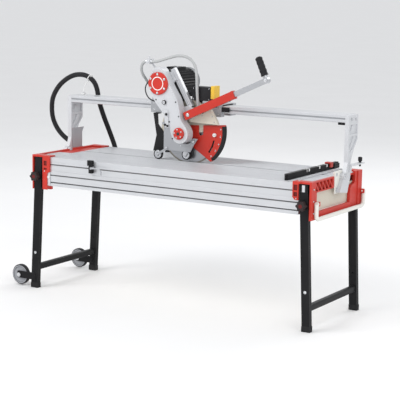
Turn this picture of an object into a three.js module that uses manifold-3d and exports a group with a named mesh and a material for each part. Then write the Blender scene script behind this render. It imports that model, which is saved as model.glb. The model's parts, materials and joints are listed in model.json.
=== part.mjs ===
// Bridge wet saw for tiles: a long aluminium table on two splayed leg frames, a tilting
// bridge rail on two posts, and a belt-driven saw head that slides along the rail.
// Units are millimetres. +X runs along the table, -Y is the operator's side, +Z is up.
import * as THREE from 'three';
import { mergeVertices } from 'three/addons/utils/BufferGeometryUtils.js';
import Module from 'manifold-3d';

const wasm = await Module();
wasm.setup();

// ---------------------------------------------------------------- driving dimensions
const GAP = 0.3; // clearance between touching pieces
const TABLE_TOP = 750;
const TABLE_ENDS = [-775.7, 777.7];
const TABLE_DEPTH = 588;
const APRON_BOTTOM = 591;
const APRON_THICKNESS = 38;
const DECK_THICKNESS = 28;
const SLOT_Y = 330; // plane of the blade and line of the tilt hinge
const SLOT_HALF = 10;
const CASTING_TOP = 757;
const CASTING_FRONT = -4;
const CROSSBAR_TOP = 601;
const CASTING_BOTTOM = 564;
const LEG = { width: 45, depth: 26, backY: 554, top: 745 };
const LEG_MIDDLE = -19;
const LEG_CENTRE = 826.8; // distance of a leg from LEG_MIDDLE at knob height
const LEG_SPLAY = 0.0463; // outward lean, as a slope
const KNOB_HEIGHT = 640;
const WHEEL = { x: -980, z: 62, radius: 57, axle: 6.5 };
const POSTS = { right: [850, 872], left: [-902, -880] };
const RAIL = { y0: 355, y1: 465, z0: 1022, z1: 1062 };
const CARRIAGE = { x0: -324, x1: 126, wall: 342, back: 500, z0: 1003, z1: 1069 };
const HUB = { x: -62, z: 912 }; // blade axis with the head down
const PULLEY = { x: -196, z: 1174 }; // motor axis
const PIVOT = { x: -157, z: 1075 }; // plunge hinge of the head
const BLADE = { radius: 175, half: 1.5 };
const SPINDLE = 12;
const BELT = { motor: 30, hub: 18, y0: 242, y1: 258 };
const ROLLER = { radius: 28, bore: 4, y0: 298, y1: 314 };
const BAIL = { x: 863, z: 647, low: 569, y0: 30, y1: 582, radius: 11 };
const HANDLE = { x: -45, z: 1004, dx: 0.9137, dz: 0.4066, y: 255 };
const CONDUIT_RADIUS = 14.5;
const HOSE_RADIUS = 8;
const FRAME_SHIFT = { x: 68, y: -290 }; // puts the origin under the middle of the object

const PAINT = {
  aluminium: [0xc6c8cc, 0.42, 0.85],
  castGrey: [0xa9abb0, 0.5, 0.5],
  lightGrey: [0xd3d5d8, 0.45, 0.2],
  red: [0xc63a2c, 0.4, 0.1],
  black: [0x17181a, 0.5, 0.1],
  steel: [0xaeb1b6, 0.3, 0.95],
  cream: [0xe4ddcc, 0.5, 0.05],
  white: [0xe9eaea, 0.45, 0.05],
  rubber: [0x141414, 0.85, 0],
  grey: [0x77797e, 0.6, 0.1],
  yellow: [0xe3c23c, 0.4, 0.05],
  green: [0x2f8f4a, 0.4, 0],
};

// ---------------------------------------------------------------- geometry helpers
function toSolid(geometry) {
  const bare = new THREE.BufferGeometry();
  bare.setAttribute('position', geometry.getAttribute('position'));
  if (geometry.index) bare.setIndex(geometry.index);
  const merged = mergeVertices(bare, 1e-4);
  return new wasm.Manifold(
    new wasm.Mesh({
      numProp: 3,
      vertProperties: new Float32Array(merged.getAttribute('position').array),
      triVerts: new Uint32Array(merged.index.array),
    }),
  );
}

function toGeometry(solid) {
  const mesh = solid.getMesh();
  const geometry = new THREE.BufferGeometry();
  geometry.setAttribute('position', new THREE.BufferAttribute(mesh.vertProperties, 3));
  geometry.setIndex(new THREE.BufferAttribute(mesh.triVerts, 1));
  return geometry;
}

const join = (...pieces) => toGeometry(pieces.map(toSolid).reduce((a, b) => a.add(b)));

function cut(body, ...tools) {
  return toGeometry([toSolid(body), ...tools.map(toSolid)].reduce((a, b) => a.subtract(b)));
}

function block(x0, x1, y0, y1, z0, z1) {
  const box = new THREE.BoxGeometry(x1 - x0, y1 - y0, z1 - z0);
  return box.translate((x0 + x1) / 2, (y0 + y1) / 2, (z0 + z1) / 2);
}

// Points of an arc about (a, b), angles in degrees.
function arc(a, b, radius, from, to, steps) {
  return Array.from({ length: steps + 1 }, (_, i) => {
    const angle = THREE.MathUtils.degToRad(from + ((to - from) * i) / steps);
    return [a + radius * Math.cos(angle), b + radius * Math.sin(angle)];
  });
}

const ring = (a, b, radius, steps = 24) => arc(a, b, radius, 0, 360, steps).slice(0, -1);

function roundedBox(a0, a1, b0, b1, radius, steps = 3) {
  return [
    ...arc(a1 - radius, b0 + radius, radius, -90, 0, steps),
    ...arc(a1 - radius, b1 - radius, radius, 0, 90, steps),
    ...arc(a0 + radius, b1 - radius, radius, 90, 180, steps),
    ...arc(a0 + radius, b0 + radius, radius, 180, 270, steps),
  ];
}

// Outline of two circles and their outer tangents.
function capsule([ax, az, ra], [bx, bz, rb], steps = 14) {
  const toDegrees = THREE.MathUtils.radToDeg;
  const heading = toDegrees(Math.atan2(bz - az, bx - ax));
  const lean = toDegrees(Math.acos((ra - rb) / Math.hypot(bx - ax, bz - az)));
  return [
    ...arc(ax, az, ra, heading + lean, heading + 360 - lean, steps),
    ...arc(bx, bz, rb, heading - lean, heading + lean, steps),
  ];
}

// A circle with lobes, for a hand knob or cooling fins.
function lobed(a, b, radius, depth, lobes, perLobe = 6) {
  const count = lobes * perLobe;
  return Array.from({ length: count }, (_, i) => {
    const angle = (i / count) * 2 * Math.PI;
    const reach = radius - (depth * (1 - Math.cos(lobes * angle))) / 2;
    return [a + reach * Math.cos(angle), b + reach * Math.sin(angle)];
  });
}

function extrude(points, depth, holes) {
  const vectors = (list) => list.map(([a, b]) => new THREE.Vector2(a, b));
  const shape = new THREE.Shape(vectors(points));
  for (const hole of holes) shape.holes.push(new THREE.Path(vectors(hole)));
  return new THREE.ExtrudeGeometry(shape, { depth, bevelEnabled: false });
}

// Flat plates: an outline in two axes, given thickness along the third.
const slabXY = (points, z0, z1, holes = []) => extrude(points, z1 - z0, holes).translate(0, 0, z0);

function slabXZ(points, y0, y1, holes = []) {
  return extrude(points, y1 - y0, holes).rotateX(Math.PI / 2).translate(0, y1, 0);
}

function slabYZ(points, x0, x1, holes = []) {
  const turn = new THREE.Matrix4().makeBasis(
    new THREE.Vector3(0, 1, 0),
    new THREE.Vector3(0, 0, 1),
    new THREE.Vector3(1, 0, 0),
  );
  return extrude(points, x1 - x0, holes).applyMatrix4(turn).translate(x0, 0, 0);
}

const discY = (x, z, radius, y0, y1, steps = 24) => slabXZ(ring(x, z, radius, steps), y0, y1);
const discX = (y, z, radius, x0, x1, steps = 20) => slabYZ(ring(y, z, radius, steps), x0, x1);
const discZ = (x, y, radius, z0, z1, steps = 20) => slabXY(ring(x, y, radius, steps), z0, z1);

// A body turned about the line that starts at `from` and points along `along`.
function turned(profile, from, along, steps = 24) {
  const points = profile.map(([radius, height]) => new THREE.Vector2(radius, height));
  const spin = new THREE.Quaternion().setFromUnitVectors(
    new THREE.Vector3(0, 1, 0),
    new THREE.Vector3(...along).normalize(),
  );
  return new THREE.LatheGeometry(points, steps).applyQuaternion(spin).translate(...from);
}

// A round bar or hose through the listed points.
function tube(points, radius, steps, sides = 10) {
  const path = new THREE.CatmullRomCurve3(points.map((p) => new THREE.Vector3(...p)), false, 'centripetal');
  const section = new THREE.Shape(ring(0, 0, radius, sides).map(([a, b]) => new THREE.Vector2(a, b)));
  return new THREE.ExtrudeGeometry(section, { steps, bevelEnabled: false, extrudePath: path });
}

// A bar of rectangular section between two points of the XZ plane.
function barXZ([ax, az], [bx, bz], width, y0, y1) {
  const half = width / 2 / Math.hypot(bx - ax, bz - az);
  const [sx, sz] = [-(bz - az) * half, (bx - ax) * half];
  return slabXZ([[ax - sx, az - sz], [bx - sx, bz - sz], [bx + sx, bz + sz], [ax + sx, az + sz]], y0, y1);
}

const group = new THREE.Group();
group.name = 'tile_saw';
group.position.set(FRAME_SHIFT.x, FRAME_SHIFT.y, 0);

function add(name, geometry, paint) {
  const [color, roughness, metalness] = PAINT[paint];
  const mesh = new THREE.Mesh(geometry, new THREE.MeshStandardMaterial({ color, roughness, metalness }));
  mesh.name = name;
  group.add(mesh);
}

// ---------------------------------------------------------------- table
// Grooves of the apron face: height of the middle, height of the groove, depth.
const APRON_GROOVES = [
  [724, 3, 1.5],
  [710, 7, 8],
  [675, 3, 1.5],
  [651, 7, 8],
  [611, 7, 8],
];

function apronFace(y, inward) {
  return APRON_GROOVES.flatMap(([z, height, depth]) => [
    [y, z + height / 2],
    [y + inward * depth, z + height / 2],
    [y + inward * depth, z - height / 2],
    [y, z - height / 2],
  ]);
}

const deckGroove = (y) => [
  [y + 3, TABLE_TOP],
  [y + 3, TABLE_TOP - 3],
  [y - 3, TABLE_TOP - 3],
  [y - 3, TABLE_TOP],
];

function chambers(y0, y1, z0, z1, count) {
  const pitch = (y1 - y0) / count;
  return Array.from({ length: count }, (_, i) =>
    roundedBox(y0 + i * pitch + 2, y0 + (i + 1) * pitch - 2, z0, z1, 2, 1),
  );
}

function tableProfile(face, inward, slotEdge, grooves, rooms) {
  const under = TABLE_TOP - DECK_THICKNESS;
  const inner = face + inward * APRON_THICKNESS;
  const inset = (a, b) => [face + inward * a, face + inward * b].sort((p, q) => p - q);
  const outline = [
    [face, TABLE_TOP],
    ...apronFace(face, inward),
    [face, APRON_BOTTOM],
    [inner, APRON_BOTTOM],
    [inner, under],
    [slotEdge - inward * DECK_THICKNESS, under],
    [slotEdge, TABLE_TOP - 6],
    [slotEdge, TABLE_TOP],
    ...grooves.flatMap((y) => (inward > 0 ? deckGroove(y) : deckGroove(y).reverse())),
  ];
  const [deck0, deck1] = [inner + inward * 3, slotEdge - inward * 34].sort((p, q) => p - q);
  const holes = [
    ...chambers(deck0, deck1, under + 4, TABLE_TOP - 7, rooms),
    roundedBox(...inset(12, 34), 618, 644, 2, 1),
    roundedBox(...inset(12, 34), 658, 702, 2, 1),
  ];
  return slabYZ(outline, ...TABLE_ENDS, holes);
}

add('table_front', tableProfile(0, 1, SLOT_Y - SLOT_HALF, [262, 176, 72], 3), 'aluminium');
const mainsGland = discY(-600, 631, 11, TABLE_DEPTH - 1, TABLE_DEPTH + 14);
add('table_back', join(tableProfile(TABLE_DEPTH, -1, SLOT_Y + SLOT_HALF, [420, 510], 2), mainsGland), 'aluminium');

// The tub hangs between the aprons and rests on the bottom bars of both castings.
function waterTank() {
  const floor = CROSSBAR_TOP + GAP;
  return cut(block(-846, 828, 64, 524, floor, 704), block(-842, 824, 68, 520, floor + 4, 710));
}
add('water_tank', waterTank(), 'cream');

// ---------------------------------------------------------------- legs
const legCentre = (side, z) => LEG_MIDDLE + side * (LEG_CENTRE + LEG_SPLAY * (KNOB_HEIGHT - z));

function legSlab(side, y0) {
  const half = LEG.width / 2;
  const outline = [0, LEG.top].flatMap((z, i) => {
    const edges = [[legCentre(side, z) - half, z], [legCentre(side, z) + half, z]];
    return i ? edges.reverse() : edges;
  });
  return slabXZ(outline, y0, y0 + LEG.depth);
}

function legFrame(side) {
  const pieces = [0, LEG.backY].map((y) => legSlab(side, y));
  const barX = legCentre(side, 117);
  pieces.push(slabXZ(roundedBox(barX - 15, barX + 15, 100, 134, 8), LEG.depth - 1, LEG.backY + 1));
  if (side < 0) {
    for (const y of [0, LEG.backY]) {
      pieces.push(slabXZ(roundedBox(WHEEL.x - 14, -870, 45, 85, 8), y - 4, y + 0.5));
      pieces.push(discY(WHEEL.x, WHEEL.z, WHEEL.axle, y - 8, y + 34, 16));
    }
  }
  const holes = [KNOB_HEIGHT, 203].flatMap((z) =>
    [-2, LEG.backY - 2].map((y) => discY(legCentre(side, z), z, z > 300 ? 5.5 : 4, y, y + LEG.depth + 4, 14)),
  );
  return cut(join(...pieces), ...holes);
}
add('leg_frame_left', legFrame(-1), 'black');
add('leg_frame_right', legFrame(1), 'black');

function wheel(y) {
  const bore = WHEEL.axle + 0.5;
  const profile = [
    [bore, 0], [18, 0], [18, 6], [42, 6], [44, 2], [53, 2], [57, 7], [57, 23], [53, 28],
    [44, 28], [42, 24], [18, 24], [18, 30], [bore, 30], [bore, 0],
  ];
  return turned(profile, [WHEEL.x, y, WHEEL.z], [0, 1, 0], 36);
}
add('wheel_front', wheel(2), 'rubber');
add('wheel_back', wheel(LEG.backY + 2), 'rubber');

// Star knob on a stud that passes through the leg; `out` points away from the table.
function legKnob(side, face, out) {
  const x = legCentre(side, KNOB_HEIGHT);
  const span = (a, b) => [face + out * a, face + out * b].sort((p, q) => p - q);
  return join(
    slabXZ(lobed(x, KNOB_HEIGHT, 27.5, 7, 6, 5), ...span(16, 40)),
    discY(x, KNOB_HEIGHT, 14, ...span(GAP, 17), 20),
    discY(x, KNOB_HEIGHT, 5, ...span(-24, 1), 14),
  );
}
for (const [place, side] of [['left', -1], ['right', 1]]) {
  add(`leg_knob_front_${place}`, legKnob(side, 0, -1), 'black');
  add(`leg_knob_back_${place}`, legKnob(side, LEG.backY + LEG.depth, 1), 'black');
}

// ---------------------------------------------------------------- end castings
const END = {
  right: { inner: 778, ear: [747, 778], earLow: 665, flange: 839, outer: 851, face: 846, windows: [[752, 774, 712, 741], [752, 774, 682, 704]] },
  left: { inner: -776, ear: [-807, -758], earLow: 660, flange: -874, outer: -881, face: -878, windows: [[-800, -778, 702, 729], [-800, -778, 679, 690]] },
};

function span(a, b) {
  return a < b ? [a, b] : [b, a];
}

// One corner: a web behind the leg, an outer flange and a cap over the leg.
function castingCorner(end, mirrored) {
  const y = (a, b) => (mirrored ? [580 - b, 580 - a] : [a, b]);
  return [
    block(...span(end.inner, end.outer), ...y(LEG.depth + 1, 44), CASTING_BOTTOM + 2, CASTING_TOP),
    block(...span(end.flange, end.outer), ...y(CASTING_FRONT, 40), CASTING_BOTTOM + 2, CASTING_TOP),
    block(...span(end.inner, end.outer), ...y(CASTING_FRONT, 40), 747, CASTING_TOP),
  ];
}

// Front ear that laps over the end of the apron, with sunk windows, hung from a lip on the deck.
function frontEar(end) {
  const [x0, x1] = end.ear;
  const floor = TABLE_TOP + GAP;
  const chamfered = end.face > 0 ? [[x0, end.earLow + 14], [x0 + 12, end.earLow]] : [[x0, 569], [-776, 569], [-776, end.earLow], [x1, end.earLow + 10]];
  const outline = end.face > 0
    ? [[x0, CASTING_TOP], ...chamfered, [x1 + 1, end.earLow], [x1 + 1, CASTING_TOP]]
    : [[x0, CASTING_TOP], ...chamfered, [x1, CASTING_TOP]];
  const pieces = [slabXZ(outline, CASTING_FRONT - 5, -GAP), block(...span(x0, x1), CASTING_FRONT - 5, 44, floor, CASTING_TOP)];
  if (end.face < 0) pieces.push(block(x0, end.inner, CASTING_FRONT - 5, 44, 578, CASTING_TOP));
  else pieces.push(block(x1 - 0.1, x1 + 12, CASTING_FRONT - 5, 0, 747, CASTING_TOP));
  return pieces;
}

// Triangular pockets between the diagonal ribs of the end beam.
function beamPockets(end) {
  const [x0, x1] = span(end.face + Math.sign(end.face) * 2, end.face - Math.sign(end.face) * 10);
  return Array.from({ length: 5 }, (_, i) => 48 + i * 39).flatMap((y) => [
    slabYZ([[y, 706], [y + 29, 706], [y, 742]], x0, x1),
    slabYZ([[y + 35, 712], [y + 35, 750], [y + 5, 750]], x0, x1),
  ]);
}

const PLATE_FRONT = 262; // where the right end plate stops and the tilt plate takes over
const FULL_END = [[42, CASTING_TOP], [42, CASTING_BOTTOM], [520, CASTING_BOTTOM], ...arc(528, CASTING_BOTTOM + 15, 15, -90, 0, 3), [543, CASTING_TOP]];
const OPEN_END = [
  [42, CASTING_TOP], [42, CASTING_BOTTOM], [520, CASTING_BOTTOM], ...arc(528, CASTING_BOTTOM + 15, 15, -90, 0, 3), [543, CASTING_TOP], [509, CASTING_TOP],
  [509, 704], [496, 694], [466, 688], [452, 672], [448, CROSSBAR_TOP], [64, CROSSBAR_TOP], [64, 700], [PLATE_FRONT, 700], [PLATE_FRONT, CASTING_TOP],
];
const END_WINDOW = [[64, 700], [440, 700], [452, CROSSBAR_TOP], [64, CROSSBAR_TOP]];

function endCasting(end, plateOutline, plateHoles) {
  const out = Math.sign(end.face);
  const plate = span(end.face, end.face - out * 16);
  const endPlate = slabYZ(plateOutline, ...plate, plateHoles);
  const roof = block(...span(end.inner, end.face - out * 10), 42, 540, 738, 748);
  const body = join(endPlate, roof, ...frontEar(end), ...castingCorner(end, false), ...castingCorner(end, true));
  const windows = end.windows.map(([x0, x1, z0, z1]) => block(x0, x1, CASTING_FRONT - 6, CASTING_FRONT + 1, z0, z1));
  const journal = discX(SLOT_Y, TABLE_TOP, 14.5, ...span(end.face + out * 2, end.face - out * 18));
  const studs = [-10, 540].map((y) => discY(legCentre(out, KNOB_HEIGHT), KNOB_HEIGHT, 5.6, y, y + 56, 14));
  return cut(body, ...windows, ...beamPockets(end), journal, ...studs);
}

function leftCasting() {
  const gland = discX(530, 732, 17, -901, -877);
  const tiltPlate = slabYZ([[363, 750], [455, 750], [455, 845], [472, 872], [363, 872]], -879.5, -876);
  return join(endCasting(END.left, FULL_END, [END_WINDOW]), gland, tiltPlate);
}

function rightCasting() {
  const lugs = [BAIL.y0 + 11, BAIL.y1 - 20].map((y) => block(845, 874, y, y + 9, BAIL.z - 11, BAIL.z + 11));
  const pins = [BAIL.y0 + 9, BAIL.y1 - 22].map((y) => discY(BAIL.x, BAIL.z, 5.5, y, y + 13, 16));
  return cut(join(endCasting(END.right, OPEN_END, []), ...lugs), ...pins);
}
add('end_casting_left', leftCasting(), 'red');
add('end_casting_right', rightCasting(), 'red');

// White bearing plate that laps over the end of the beam and carries the tilt journal.
function tiltPlateRight() {
  const outline = [[256, 668], [338, 668], [352, 700], [352, 781], [256, 781]];
  const bearing = block(836.3, 847, PLATE_FRONT + 0.5, 351, 700, 780);
  const body = join(slabYZ(outline, 846 + GAP, 849.5), bearing);
  return cut(body, discX(SLOT_Y, TABLE_TOP, 14.5, 830, 855), discX(276, 690, 4, 840, 855, 12), discX(276, 765, 4, 835, 855, 12));
}
add('tilt_plate_right', tiltPlateRight(), 'white');

// White bail for lifting one end of the saw; its pins turn in the lugs of the casting.
function liftHandle() {
  const { x, z, low, y0, y1, radius } = BAIL;
  const path = [
    [x, y0, z], [x, y0, z - 25], [x, y0, low + 22], [x, y0 + 6, low + 6], [x, y0 + 22, low], [x, y0 + 70, low],
    [x, y1 - 70, low], [x, y1 - 22, low], [x, y1 - 6, low + 6], [x, y1, low + 22], [x, y1, z - 25], [x, y1, z],
  ];
  const pin = [[0, 0], [11, 0], [11, 10], [5, 10], [5, 20], [0, 20]];
  return join(
    tube(path, radius, 40),
    turned(pin, [x, y0 - 1, z], [0, 1, 0], 16),
    turned(pin, [x, y1 + 1, z], [0, -1, 0], 16),
  );
}
add('lift_handle', liftHandle(), 'white');

// ---------------------------------------------------------------- fence and stops
add('scale_rail', cut(block(720, 744, 30, 560, TABLE_TOP + GAP, 756), block(729, 733, 25, 565, 753.5, 758)), 'steel');

function fenceBar() {
  const floor = TABLE_TOP + 0.4;
  const bar = slabXY([[675, 40], [685, 28], [695, 40], [695, 618], [675, 618]], floor, 782);
  return cut(join(bar, block(668, 702, 556, 618, floor, 776)), block(674, 679, 70, 540, 762, 768));
}
add('fence_bar', fenceBar(), 'black');

// Saddle that slides along the fence.
function stopSlider() {
  const saddle = block(668, 702, 508, 540, 762, 789);
  return cut(saddle, block(674.4, 695.6, 507, 541, 761, 782.6));
}
add('stop_slider', stopSlider(), 'red');

const leverBlock = join(block(-484, -464, -22, -GAP, 688, 757), block(-496, -466, -18, -GAP, 728, 757));
add('lever_block', cut(leverBlock, discX(-14, 718, 4.4, -490, -460, 12)), 'black');

function clampLever() {
  const rod = tube([[-463, -36, 718], [-430, -36, 718], [-404, -36, 716], [-393, -36, 706], [-392, -36, 686]], 4, 16, 8);
  return join(rod, block(-463, -456, -40, -10, 712, 724), discX(-14, 718, 4, -482, -456, 12));
}
add('clamp_lever', clampLever(), 'steel');

// ---------------------------------------------------------------- bridge
const POST_OUTLINE = [
  [355, 1061], [465, 1061], [465, 930], [428, 890], [402, 845], [388, 816], [392, 746], [361, 663],
  [268, 676], [335, 765], [355, 820],
];
const POST_POCKETS = [
  [[366, 1010], [366, 968], [400, 1010]],
  [[410, 1010], [372, 962], [454, 962], [454, 1010]],
  [[366, 950], [366, 880], [416, 950]],
  [[428, 950], [372, 868], [418, 892], [454, 936], [454, 950]],
];

function bridgePost([x0, x1]) {
  const journalOut = x0 > 0 ? [x0 - 16, x1] : [x0, x1 + 16];
  const body = join(
    slabYZ(POST_OUTLINE, x0, x1),
    discX(SLOT_Y, TABLE_TOP, 20, x0, x1),
    discX(SLOT_Y, TABLE_TOP, 14, ...journalOut),
  );
  const pockets = POST_POCKETS.flatMap((p) => [slabYZ(p, x0 - 1, x0 + 5), slabYZ(p, x1 - 5, x1 + 1)]);
  return cut(body, ...pockets);
}

function rightPost() {
  const shelf = block(871, 901, 371, 499, 803, 809);
  const gusset = slabYZ([[371, 770], [392, 770], [392, 805], [371, 805]], 871, 878);
  return cut(join(bridgePost(POSTS.right), shelf, gusset), discZ(886, 475, 5.5, 800, 812, 12));
}
add('bridge_post_left', bridgePost(POSTS.left), 'lightGrey');
add('bridge_post_right', rightPost(), 'lightGrey');

function bridgeRail() {
  const { y0, y1, z0, z1 } = RAIL;
  const outline = [
    [y0 + 2, z0], [y1 - 2, z0], [y1, z0 + 2], [y1, z1 - 2], [y1 - 2, z1], [y0 + 2, z1],
    [y0, z1 - 2], [y0, 1046], [y0 + 7, 1046], [y0 + 7, 1038], [y0, 1038], [y0, z0 + 2],
  ];
  const holes = [roundedBox(366, 406, 1027, 1057, 3, 1), roundedBox(412, 460, 1027, 1057, 3, 1)];
  return slabYZ(outline, POSTS.left[1] + GAP, POSTS.right[0] - GAP, holes);
}
add('bridge_rail', bridgeRail(), 'aluminium');
add('rail_bumper', slabYZ(roundedBox(376, 444, 1007, RAIL.z0 - GAP, 3), 800, 849), 'rubber');

function tiltLock() {
  return turned([[0, -20], [5, -20], [5, GAP], [7, GAP], [7, 6], [11, 9], [11, 26], [8, 29], [0, 29]], [886, 475, 809], [0, 0, 1], 20);
}
add('tilt_lock', tiltLock(), 'black');

// Wire arm with a tie ring that carries the conduit above the rail.
function hoseHolder() {
  const foot = block(-877, -857, 445, 463, RAIL.z1 + GAP, 1070);
  const wire = tube([[-867, 455, 1067], [-866, 458, 1095], [-861, 466, 1116], [-856, 474, 1131], [-850.5, 479, 1139.5]], 2.6, 16, 8);
  const tie = new THREE.TorusGeometry(19, 3, 8, 20).rotateY((2 * Math.PI) / 3).translate(-841, 480, 1157);
  return join(foot, wire, tie);
}
add('hose_holder', hoseHolder(), 'black');

// ---------------------------------------------------------------- carriage
// Plate that hangs in front of the rail and carries the rollers and the plunge hinge.
function frontPlate() {
  const outline = [
    [-203, 807], [-33, 807], [-14, 842], [13, 882], [-18, 884],
    ...arc(HUB.x, HUB.z, 62, 300, 190, 8),
    [-150, 960], [-150, 1004], [-136, 1064], [-136, 1078], ...arc(PIVOT.x, PIVOT.z, 21, 20, 160, 6),
    [-240, 1069], [-240, 1040], [-203, 1004],
  ];
  const holes = [ring(-183, 818, 4.4, 14), ring(-13, 866, 4.4, 14), ring(PIVOT.x, PIVOT.z, 8.4, 18), ring(-170, 998, 4.4, 14)];
  return slabXZ(outline, 288, 293, holes);
}

function carriageBody() {
  const { x0, x1, wall, back, z0, z1 } = CARRIAGE;
  const wrap = [
    [wall, z0], [375, z0], [375, RAIL.z0 - 1], [354, RAIL.z0 - 1], [354, RAIL.z1 + 1], [466, RAIL.z1 + 1],
    [466, RAIL.z0 - 1], [445, RAIL.z0 - 1], [445, z0], [back, z0], [back, z1], [wall, z1],
  ];
  const screws = [[-199, 954], [-177, 947]].map(([x, z]) => discY(x, z, 8, 274, 289, 16));
  const body = join(
    slabYZ(wrap, x0, x1),
    frontPlate(),
    block(-240, -190, 292, wall + 1, 1040, z1),
    discY(PIVOT.x, PIVOT.z, 26, wall, 354),
    discY(-300, 1036, 16, back - 1, 512, 20),
    discZ(-312, 356, 11, z1 - 1, 1080),
    ...screws,
  );
  return cut(body, discY(PIVOT.x, PIVOT.z, 8.4, 330, 353, 18), discX(348, 1044, 3.4, 100, 130, 12));
}
add('carriage_body', carriageBody(), 'castGrey');

const flapOutline = [
  [-291, CARRIAGE.z0 - GAP], [-261, CARRIAGE.z0 - GAP], [-257, 943], [-213, 891], [-212, 803], [-290, 793], [-269, 882],
];
add('splash_flap', join(slabXZ(flapOutline, 316, 319), block(-291, -262, 318, 350, 998, CARRIAGE.z0 - GAP)), 'rubber');

const pinProfile = [[0, 0], [12, 0], [12, 7.5], [8, 7.5], [8, 140], [0, 140]];
add('pivot_pin', turned(pinProfile, [PIVOT.x, 212, PIVOT.z], [0, 1, 0], 24), 'black');

// Flat-headed index plunger that locks the carriage on the rail.
const plungerHead = block(128, 170, 342.8, 354.2, 1032, 1056);
add('carriage_lock', join(plungerHead, discX(348, 1044, 3, 104, 129, 12)), 'black');

add('plunge_lock', join(
  slabXZ(lobed(-170, 998, 11, 2, 6, 5), 270, 284),
  discY(-170, 998, 6, 283, 288 - GAP, 16),
  discY(-170, 998, 4, 287, 296, 14),
), 'black');

function rollerArm([px, pz], [rx, rz]) {
  return join(
    barXZ([px, pz], [rx, rz], 12, 293.4, 297),
    discY(px, pz, 8, 293.4, 297, 18),
    discY(rx, rz, 7, 293.4, 297, 18),
    discY(px, pz, 4, 284, 294, 14),
    discY(rx, rz, 3.6, 296, ROLLER.y1 + 1.5, 14),
  );
}

function roller([x, z]) {
  const { radius, bore, y0, y1 } = ROLLER;
  const profile = [
    [bore, 0], [9, 0], [9, 3], [22, 3], [23, 1], [radius - 1, 1], [radius, 3], [radius, 13],
    [radius - 1, 15], [23, 15], [22, 13], [9, 13], [9, y1 - y0], [bore, y1 - y0], [bore, 0],
  ];
  return turned(profile, [x, y0, z], [0, 1, 0], 28);
}
const ROLLERS = { left: [[-183, 818], [-248, 779]], right: [[-13, 866], [-66, 789]] };
for (const [place, [arm, centre]] of Object.entries(ROLLERS)) {
  add(`roller_arm_${place}`, rollerArm(arm, centre), 'steel');
  add(`roller_${place}`, roller(centre), 'rubber');
}

// ---------------------------------------------------------------- head
function swingArm() {
  const plate = slabXZ(capsule([PULLEY.x, PULLEY.z, 54], [HUB.x, HUB.z, 36]), 274.4, 286);
  const handleTab = slabXZ([[-95, 970], [-30, 985], [4, 1004], [0, 1045], [-40, 1060], [-95, 1045]], 274.4, 286);
  const topTab = slabXZ([[-190, 1222], [-158, 1236], [-118, 1196], [-150, 1160]], 274.4, 286);
  const strut = cut(barXZ([-150, 1252], [-33, 1052], 28, 285, 308), barXZ([-156, 1262], [-27, 1042], 8, 302, 310));
  const bores = [discY(PIVOT.x, PIVOT.z, 8.5, 270, 290, 18), discY(HUB.x, HUB.z, SPINDLE + 0.5, 270, 290, 20), discY(PULLEY.x, PULLEY.z, 9.5, 270, 290, 18)];
  return cut(join(plate, handleTab, topTab, strut), ...bores);
}
add('swing_arm', swingArm(), 'aluminium');

const CASING_OUTLINE = [
  [-200, 1261], [-172, 1250], [-156, 1222], [-131, 1174], [-75, 1082], [-62, 1030], [-52, 985], [-20, 945],
  [-8, 912], [-20, 876], [-62, 858], [-98, 874], [-116, 915], [-128, 958], [-166, 1014], [-227, 1087],
  [-248, 1140], [-257, 1189], [-246, 1232], [-225, 1255],
];

function smoothLoop(points, count) {
  const loop = new THREE.CatmullRomCurve3(points.map(([a, b]) => new THREE.Vector3(a, b, 0)), true, 'centripetal');
  return loop.getPoints(count).slice(0, -1).map((p) => [p.x, p.y]);
}

function beltCover() {
  const shell = slabXZ(smoothLoop(CASING_OUTLINE, 72), 220, 274);
  const room = slabXZ(capsule([PULLEY.x, PULLEY.z, 42], [HUB.x, HUB.z, 28]), 225, 276);
  const pinCollar = discY(PIVOT.x, PIVOT.z, 13, 221, 232, 20);
  return cut(join(cut(shell, room), pinCollar), discY(PIVOT.x, PIVOT.z, 8.5, 216, 280, 18));
}
add('belt_cover', beltCover(), 'lightGrey');

// Loop that runs round the motor pulley and the spindle pulley, clear of the pivot pin.
const beltOuter = capsule([PULLEY.x, PULLEY.z, BELT.motor + 4], [HUB.x, HUB.z, BELT.hub + 4]);
const beltInner = capsule([PULLEY.x, PULLEY.z, BELT.motor + 0.4], [HUB.x, HUB.z, BELT.hub + 0.4]);
add('drive_belt', slabXZ(beltOuter, BELT.y0, BELT.y1, [beltInner]), 'rubber');

const pulleyProfile = [[0, 0], [33, 0], [33, 2], [29.6, 2.2], [29.6, 22], [33, 22.2], [33, 24], [9, 24], [9, 50], [0, 50]];
add('motor_pulley', turned(pulleyProfile, [PULLEY.x, 237, PULLEY.z], [0, 1, 0], 28), 'steel');

function roundCover({ x, z }, radius, bolts, reach) {
  const profile = [[0, 0], [radius - 5, 0], [radius, 4], [radius, 11.7], [0, 11.7]];
  const heads = arc(0, 0, reach, 30, 30 + (360 * (bolts - 1)) / bolts, bolts - 1);
  return join(
    turned(profile, [x, 208, z], [0, 1, 0], 40),
    ...heads.map(([a, b]) => discY(x + a, z + b, radius / 12, 206, 209, 10)),
  );
}
add('pulley_cover', roundCover(PULLEY, 61, 6, 50), 'red');
add('hub_cap', roundCover(HUB, 32, 5, 23), 'red');

function motorBody() {
  const { x, z } = PULLEY;
  const shell = join(slabXZ(lobed(x, z, 74, 7, 28, 4), 322, 498), discY(x, z, 70, 309, 323), discY(x, z, 40, 286 + GAP, 310));
  return cut(join(shell, block(x - 40, x + 34, 360, 440, z + 60, z + 82)), discY(x, z, 9.5, 280, 300, 18));
}
add('motor_body', motorBody(), 'black');

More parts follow.
